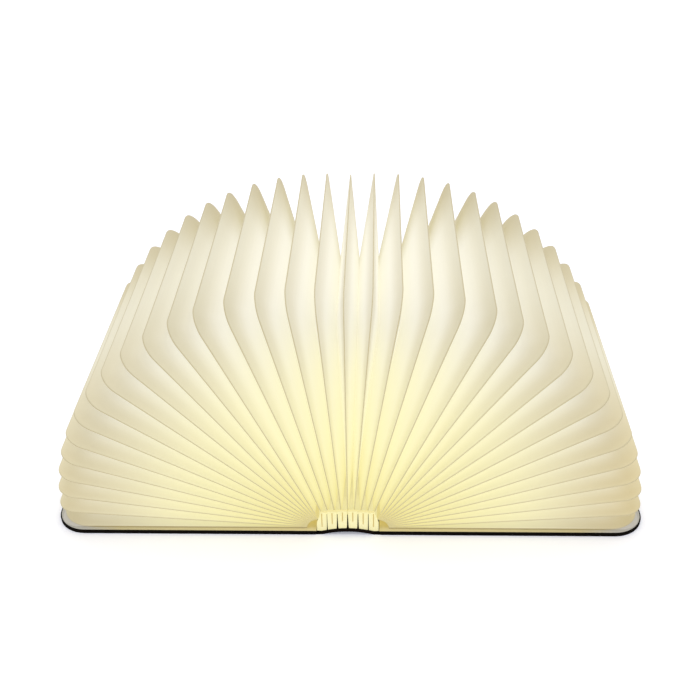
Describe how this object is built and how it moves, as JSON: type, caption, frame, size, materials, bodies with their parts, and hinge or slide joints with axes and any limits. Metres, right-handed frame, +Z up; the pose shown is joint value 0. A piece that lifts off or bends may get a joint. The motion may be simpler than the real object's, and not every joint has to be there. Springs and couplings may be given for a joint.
{
  "type": "folding book lamp",
  "caption": "Book-shaped lamp lying open: a fanned paper bellows over a light bar on the spine, between two hinged black covers.",
  "frame": {"origin": "on the table under the middle of the spine, at the centre of the open book", "axes": "+X to the right across the open book, +Y along the spine away from the front tabs, +Z up"},
  "size_m": [0.402, 0.195, 0.1807],
  "materials": {
    "board": "stiff grey-brown book board",
    "black_cloth": "fine black book cloth with a leather-like grain",
    "lining_paper": "smooth warm grey lining paper",
    "page_paper": "translucent fibre paper, off-white",
    "bellows_paper": "translucent fibre paper lit from inside, pale yellow near the spine",
    "tab_card": "cream card lit from inside",
    "bar_plastic": "moulded black plastic",
    "diffuser_plastic": "frosted white plastic over the lamps",
    "lamp_strip": "white strip with small warm-white lamps",
    "battery_foil": "silver foil pouch",
    "circuit_green": "green circuit board with black chips",
    "socket_steel": "stamped steel shell",
    "magnet_nickel": "nickel-plated discs",
    "screw_steel": "plated steel screws"
  },
  "bodies": {
    "root": {"spine_board": "board", "spine_cloth": "black_cloth", "light_base": "bar_plastic", "light_housing": "bar_plastic", "diffuser": "diffuser_plastic", "led_strip": "lamp_strip", "battery": "battery_foil", "circuit_board": "circuit_green", "charge_socket": "socket_steel", "front_end_cap": "bar_plastic", "rear_end_cap": "bar_plastic", "bar_screws": "screw_steel", "front_tabs": "tab_card", "rear_tabs": "tab_card", "centre_page": "page_paper", "right_bellows": "bellows_paper", "left_bellows": "bellows_paper"},
    "right_cover": {"right_cover_board": "board", "right_cover_cloth": "black_cloth", "right_cover_lining": "lining_paper", "right_cover_magnets": "magnet_nickel"},
    "right_page_01": {"right_page_01": "page_paper"},
    "right_page_02": {"right_page_02": "page_paper"},
    "right_page_03": {"right_page_03": "page_paper"},
    "right_page_04": {"right_page_04": "page_paper"},
    "right_page_05": {"right_page_05": "page_paper"},
    "right_page_06": {"right_page_06": "page_paper"},
    "right_page_07": {"right_page_07": "page_paper"},
    "right_page_08": {"right_page_08": "page_paper"},
    "right_page_09": {"right_page_09": "page_paper"},
    "right_page_10": {"right_page_10": "page_paper"},
    "right_page_11": {"right_page_11": "page_paper"},
    "right_page_12": {"right_page_12": "page_paper"},
    "right_page_13": {"right_page_13": "page_paper"},
    "right_page_14": {"right_page_14": "page_paper"},
    "right_page_15": {"right_page_15": "page_paper"},
    "right_page_16": {"right_page_16": "page_paper"},
    "right_end_page": {"right_end_page": "page_paper"},
    "left_cover": {"left_cover_board": "board", "left_cover_cloth": "black_cloth", "left_cover_lining": "lining_paper", "left_cover_magnets": "magnet_nickel"},
    "left_page_01": {"left_page_01": "page_paper"},
    "left_page_02": {"left_page_02": "page_paper"},
    "left_page_03": {"left_page_03": "page_paper"},
    "left_page_04": {"left_page_04": "page_paper"},
    "left_page_05": {"left_page_05": "page_paper"},
    "left_page_06": {"left_page_06": "page_paper"},
    "left_page_07": {"left_page_07": "page_paper"},
    "left_page_08": {"left_page_08": "page_paper"},
    "left_page_09": {"left_page_09": "page_paper"},
    "left_page_10": {"left_page_10": "page_paper"},
    "left_page_11": {"left_page_11": "page_paper"},
    "left_page_12": {"left_page_12": "page_paper"},
    "left_page_13": {"left_page_13": "page_paper"},
    "left_page_14": {"left_page_14": "page_paper"},
    "left_page_15": {"left_page_15": "page_paper"},
    "left_page_16": {"left_page_16": "page_paper"},
    "left_end_page": {"left_end_page": "page_paper"}
  },
  "joints": [
    {"name": "right_cover_hinge", "type": "hinge", "parent": "root", "child": "right_cover", "pos_m": [0.021, 0, 0.0028], "axis": [0, -1, 0], "range_deg": [-90, 90], "deforming": ["right_bellows", "spine_cloth"]},
    {"name": "right_page_01_fold", "type": "hinge", "parent": "root", "child": "right_page_01", "pos_m": [0.021, 0, 0.0028], "axis": [0, -1, 0], "range_deg": [-4.36, 4.36]},
    {"name": "right_page_02_fold", "type": "hinge", "parent": "right_page_01", "child": "right_page_02", "pos_m": [0.021, 0, 0.0028], "axis": [0, -1, 0], "range_deg": [-4.48, 4.48]},
    {"name": "right_page_03_fold", "type": "hinge", "parent": "right_page_02", "child": "right_page_03", "pos_m": [0.021, 0, 0.0028], "axis": [0, -1, 0], "range_deg": [-4.72, 4.72]},
    {"name": "right_page_04_fold", "type": "hinge", "parent": "right_page_03", "child": "right_page_04", "pos_m": [0.021, 0, 0.0028], "axis": [0, -1, 0], "range_deg": [-5.03, 5.03]},
    {"name": "right_page_05_fold", "type": "hinge", "parent": "right_page_04", "child": "right_page_05", "pos_m": [0.021, 0, 0.0028], "axis": [0, -1, 0], "range_deg": [-5.38, 5.38]},
    {"name": "right_page_06_fold", "type": "hinge", "parent": "right_page_05", "child": "right_page_06", "pos_m": [0.021, 0, 0.0028], "axis": [0, -1, 0], "range_deg": [-5.72, 5.72]},
    {"name": "right_page_07_fold", "type": "hinge", "parent": "right_page_06", "child": "right_page_07", "pos_m": [0.021, 0, 0.0028], "axis": [0, -1, 0], "range_deg": [-6, 6]},
    {"name": "right_page_08_fold", "type": "hinge", "parent": "right_page_07", "child": "right_page_08", "pos_m": [0.021, 0, 0.0028], "axis": [0, -1, 0], "range_deg": [-6.19, 6.19]},
    {"name": "right_page_09_fold", "type": "hinge", "parent": "right_page_08", "child": "right_page_09", "pos_m": [0.021, 0, 0.0028], "axis": [0, -1, 0], "range_deg": [-6.25, 6.25]},
    {"name": "right_page_10_fold", "type": "hinge", "parent": "right_page_09", "child": "right_page_10", "pos_m": [0.021, 0, 0.0028], "axis": [0, -1, 0], "range_deg": [-6.19, 6.19]},
    {"name": "right_page_11_fold", "type": "hinge", "parent": "right_page_10", "child": "right_page_11", "pos_m": [0.021, 0, 0.0028], "axis": [0, -1, 0], "range_deg": [-6, 6]},
    {"name": "right_page_12_fold", "type": "hinge", "parent": "right_page_11", "child": "right_page_12", "pos_m": [0.021, 0, 0.0028], "axis": [0, -1, 0], "range_deg": [-5.72, 5.72]},
    {"name": "right_page_13_fold", "type": "hinge", "parent": "right_page_12", "child": "right_page_13", "pos_m": [0.021, 0, 0.0028], "axis": [0, -1, 0], "range_deg": [-5.38, 5.38]},
    {"name": "right_page_14_fold", "type": "hinge", "parent": "right_page_13", "child": "right_page_14", "pos_m": [0.021, 0, 0.0028], "axis": [0, -1, 0], "range_deg": [-5.03, 5.03]},
    {"name": "right_page_15_fold", "type": "hinge", "parent": "right_page_14", "child": "right_page_15", "pos_m": [0.021, 0, 0.0028], "axis": [0, -1, 0], "range_deg": [-4.72, 4.72]},
    {"name": "right_page_16_fold", "type": "hinge", "parent": "right_page_15", "child": "right_page_16", "pos_m": [0.021, 0, 0.0028], "axis": [0, -1, 0], "range_deg": [-4.48, 4.48]},
    {"name": "right_end_page_fold", "type": "hinge", "parent": "right_page_16", "child": "right_end_page", "pos_m": [0.021, 0, 0.0028], "axis": [0, -1, 0], "range_deg": [-4.36, 4.36]},
    {"name": "left_cover_hinge", "type": "hinge", "parent": "root", "child": "left_cover", "pos_m": [-0.021, 0, 0.0028], "axis": [0, 1, 0], "range_deg": [-90, 90], "deforming": ["left_bellows", "spine_cloth"]},
    {"name": "left_page_01_fold", "type": "hinge", "parent": "root", "child": "left_page_01", "pos_m": [-0.021, 0, 0.0028], "axis": [0, 1, 0], "range_deg": [-4.36, 4.36]},
    {"name": "left_page_02_fold", "type": "hinge", "parent": "left_page_01", "child": "left_page_02", "pos_m": [-0.021, 0, 0.0028], "axis": [0, 1, 0], "range_deg": [-4.48, 4.48]},
    {"name": "left_page_03_fold", "type": "hinge", "parent": "left_page_02", "child": "left_page_03", "pos_m": [-0.021, 0, 0.0028], "axis": [0, 1, 0], "range_deg": [-4.72, 4.72]},
    {"name": "left_page_04_fold", "type": "hinge", "parent": "left_page_03", "child": "left_page_04", "pos_m": [-0.021, 0, 0.0028], "axis": [0, 1, 0], "range_deg": [-5.03, 5.03]},
    {"name": "left_page_05_fold", "type": "hinge", "parent": "left_page_04", "child": "left_page_05", "pos_m": [-0.021, 0, 0.0028], "axis": [0, 1, 0], "range_deg": [-5.38, 5.38]},
    {"name": "left_page_06_fold", "type": "hinge", "parent": "left_page_05", "child": "left_page_06", "pos_m": [-0.021, 0, 0.0028], "axis": [0, 1, 0], "range_deg": [-5.72, 5.72]},
    {"name": "left_page_07_fold", "type": "hinge", "parent": "left_page_06", "child": "left_page_07", "pos_m": [-0.021, 0, 0.0028], "axis": [0, 1, 0], "range_deg": [-6, 6]},
    {"name": "left_page_08_fold", "type": "hinge", "parent": "left_page_07", "child": "left_page_08", "pos_m": [-0.021, 0, 0.0028], "axis": [0, 1, 0], "range_deg": [-6.19, 6.19]},
    {"name": "left_page_09_fold", "type": "hinge", "parent": "left_page_08", "child": "left_page_09", "pos_m": [-0.021, 0, 0.0028], "axis": [0, 1, 0], "range_deg": [-6.25, 6.25]},
    {"name": "left_page_10_fold", "type": "hinge", "parent": "left_page_09", "child": "left_page_10", "pos_m": [-0.021, 0, 0.0028], "axis": [0, 1, 0], "range_deg": [-6.19, 6.19]},
    {"name": "left_page_11_fold", "type": "hinge", "parent": "left_page_10", "child": "left_page_11", "pos_m": [-0.021, 0, 0.0028], "axis": [0, 1, 0], "range_deg": [-6, 6]},
    {"name": "left_page_12_fold", "type": "hinge", "parent": "left_page_11", "child": "left_page_12", "pos_m": [-0.021, 0, 0.0028], "axis": [0, 1, 0], "range_deg": [-5.72, 5.72]},
    {"name": "left_page_13_fold", "type": "hinge", "parent": "left_page_12", "child": "left_page_13", "pos_m": [-0.021, 0, 0.0028], "axis": [0, 1, 0], "range_deg": [-5.38, 5.38]},
    {"name": "left_page_14_fold", "type": "hinge", "parent": "left_page_13", "child": "left_page_14", "pos_m": [-0.021, 0, 0.0028], "axis": [0, 1, 0], "range_deg": [-5.03, 5.03]},
    {"name": "left_page_15_fold", "type": "hinge", "parent": "left_page_14", "child": "left_page_15", "pos_m": [-0.021, 0, 0.0028], "axis": [0, 1, 0], "range_deg": [-4.72, 4.72]},
    {"name": "left_page_16_fold", "type": "hinge", "parent": "left_page_15", "child": "left_page_16", "pos_m": [-0.021, 0, 0.0028], "axis": [0, 1, 0], "range_deg": [-4.48, 4.48]},
    {"name": "left_end_page_fold", "type": "hinge", "parent": "left_page_16", "child": "left_end_page", "pos_m": [-0.021, 0, 0.0028], "axis": [0, 1, 0], "range_deg": [-4.36, 4.36]}
  ],
  "couplings": [
    {"joint": "right_page_01_fold", "follows": "right_cover_hinge", "ratio": 0.048388},
    {"joint": "right_page_02_fold", "follows": "right_cover_hinge", "ratio": 0.049797},
    {"joint": "right_page_03_fold", "follows": "right_cover_hinge", "ratio": 0.052426},
    {"joint": "right_page_04_fold", "follows": "right_cover_hinge", "ratio": 0.055918},
    {"joint": "right_page_05_fold", "follows": "right_cover_hinge", "ratio": 0.059803},
    {"joint": "right_page_06_fold", "follows": "right_cover_hinge", "ratio": 0.063556},
    {"joint": "right_page_07_fold", "follows": "right_cover_hinge", "ratio": 0.066669},
    {"joint": "right_page_08_fold", "follows": "right_cover_hinge", "ratio": 0.068723},
    {"joint": "right_page_09_fold", "follows": "right_cover_hinge", "ratio": 0.06944},
    {"joint": "right_page_10_fold", "follows": "right_cover_hinge", "ratio": 0.068723},
    {"joint": "right_page_11_fold", "follows": "right_cover_hinge", "ratio": 0.066669},
    {"joint": "right_page_12_fold", "follows": "right_cover_hinge", "ratio": 0.063556},
    {"joint": "right_page_13_fold", "follows": "right_cover_hinge", "ratio": 0.059803},
    {"joint": "right_page_14_fold", "follows": "right_cover_hinge", "ratio": 0.055918},
    {"joint": "right_page_15_fold", "follows": "right_cover_hinge", "ratio": 0.052426},
    {"joint": "right_page_16_fold", "follows": "right_cover_hinge", "ratio": 0.049797},
    {"joint": "right_end_page_fold", "follows": "right_cover_hinge", "ratio": 0.048388},
    {"joint": "left_page_01_fold", "follows": "left_cover_hinge", "ratio": 0.048388},
    {"joint": "left_page_02_fold", "follows": "left_cover_hinge", "ratio": 0.049797},
    {"joint": "left_page_03_fold", "follows": "left_cover_hinge", "ratio": 0.052426},
    {"joint": "left_page_04_fold", "follows": "left_cover_hinge", "ratio": 0.055918},
    {"joint": "left_page_05_fold", "follows": "left_cover_hinge", "ratio": 0.059803},
    {"joint": "left_page_06_fold", "follows": "left_cover_hinge", "ratio": 0.063556},
    {"joint": "left_page_07_fold", "follows": "left_cover_hinge", "ratio": 0.066669},
    {"joint": "left_page_08_fold", "follows": "left_cover_hinge", "ratio": 0.068723},
    {"joint": "left_page_09_fold", "follows": "left_cover_hinge", "ratio": 0.06944},
    {"joint": "left_page_10_fold", "follows": "left_cover_hinge", "ratio": 0.068723},
    {"joint": "left_page_11_fold", "follows": "left_cover_hinge", "ratio": 0.066669},
    {"joint": "left_page_12_fold", "follows": "left_cover_hinge", "ratio": 0.063556},
    {"joint": "left_page_13_fold", "follows": "left_cover_hinge", "ratio": 0.059803},
    {"joint": "left_page_14_fold", "follows": "left_cover_hinge", "ratio": 0.055918},
    {"joint": "left_page_15_fold", "follows": "left_cover_hinge", "ratio": 0.052426},
    {"joint": "left_page_16_fold", "follows": "left_cover_hinge", "ratio": 0.049797},
    {"joint": "left_end_page_fold", "follows": "left_cover_hinge", "ratio": 0.048388}
  ]
}
